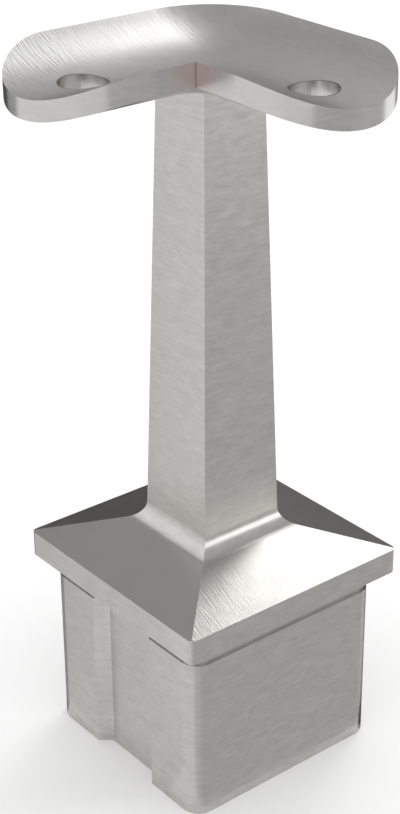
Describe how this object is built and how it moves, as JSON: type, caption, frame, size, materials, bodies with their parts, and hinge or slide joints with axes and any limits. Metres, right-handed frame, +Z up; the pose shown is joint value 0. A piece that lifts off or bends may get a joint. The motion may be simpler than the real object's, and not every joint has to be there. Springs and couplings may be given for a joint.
{
  "type": "handrail bracket",
  "caption": "Corner handrail bracket: hollow square spigot with a pyramid post cap, tapered square stem, and an L-shaped trough plate with screw holes that carries a round rail.",
  "frame": {"origin": "on the post's axis, in the plane of the post's cut end, which is the underside of the cap", "axes": "+Z up along the stem; one arm of the saddle points along +X, the other along -Y; the spigot's groove is in its -Y face"},
  "size_m": [0.0508, 0.0508, 0.1135],
  "materials": {
    "cast_stainless": "satin, fine level hairlines",
    "plate_stainless": "satin, brushed across the trough"
  },
  "bodies": {
    "root": {"post_adapter": "cast_stainless", "saddle_plate": "plate_stainless"}
  },
  "joints": []
}
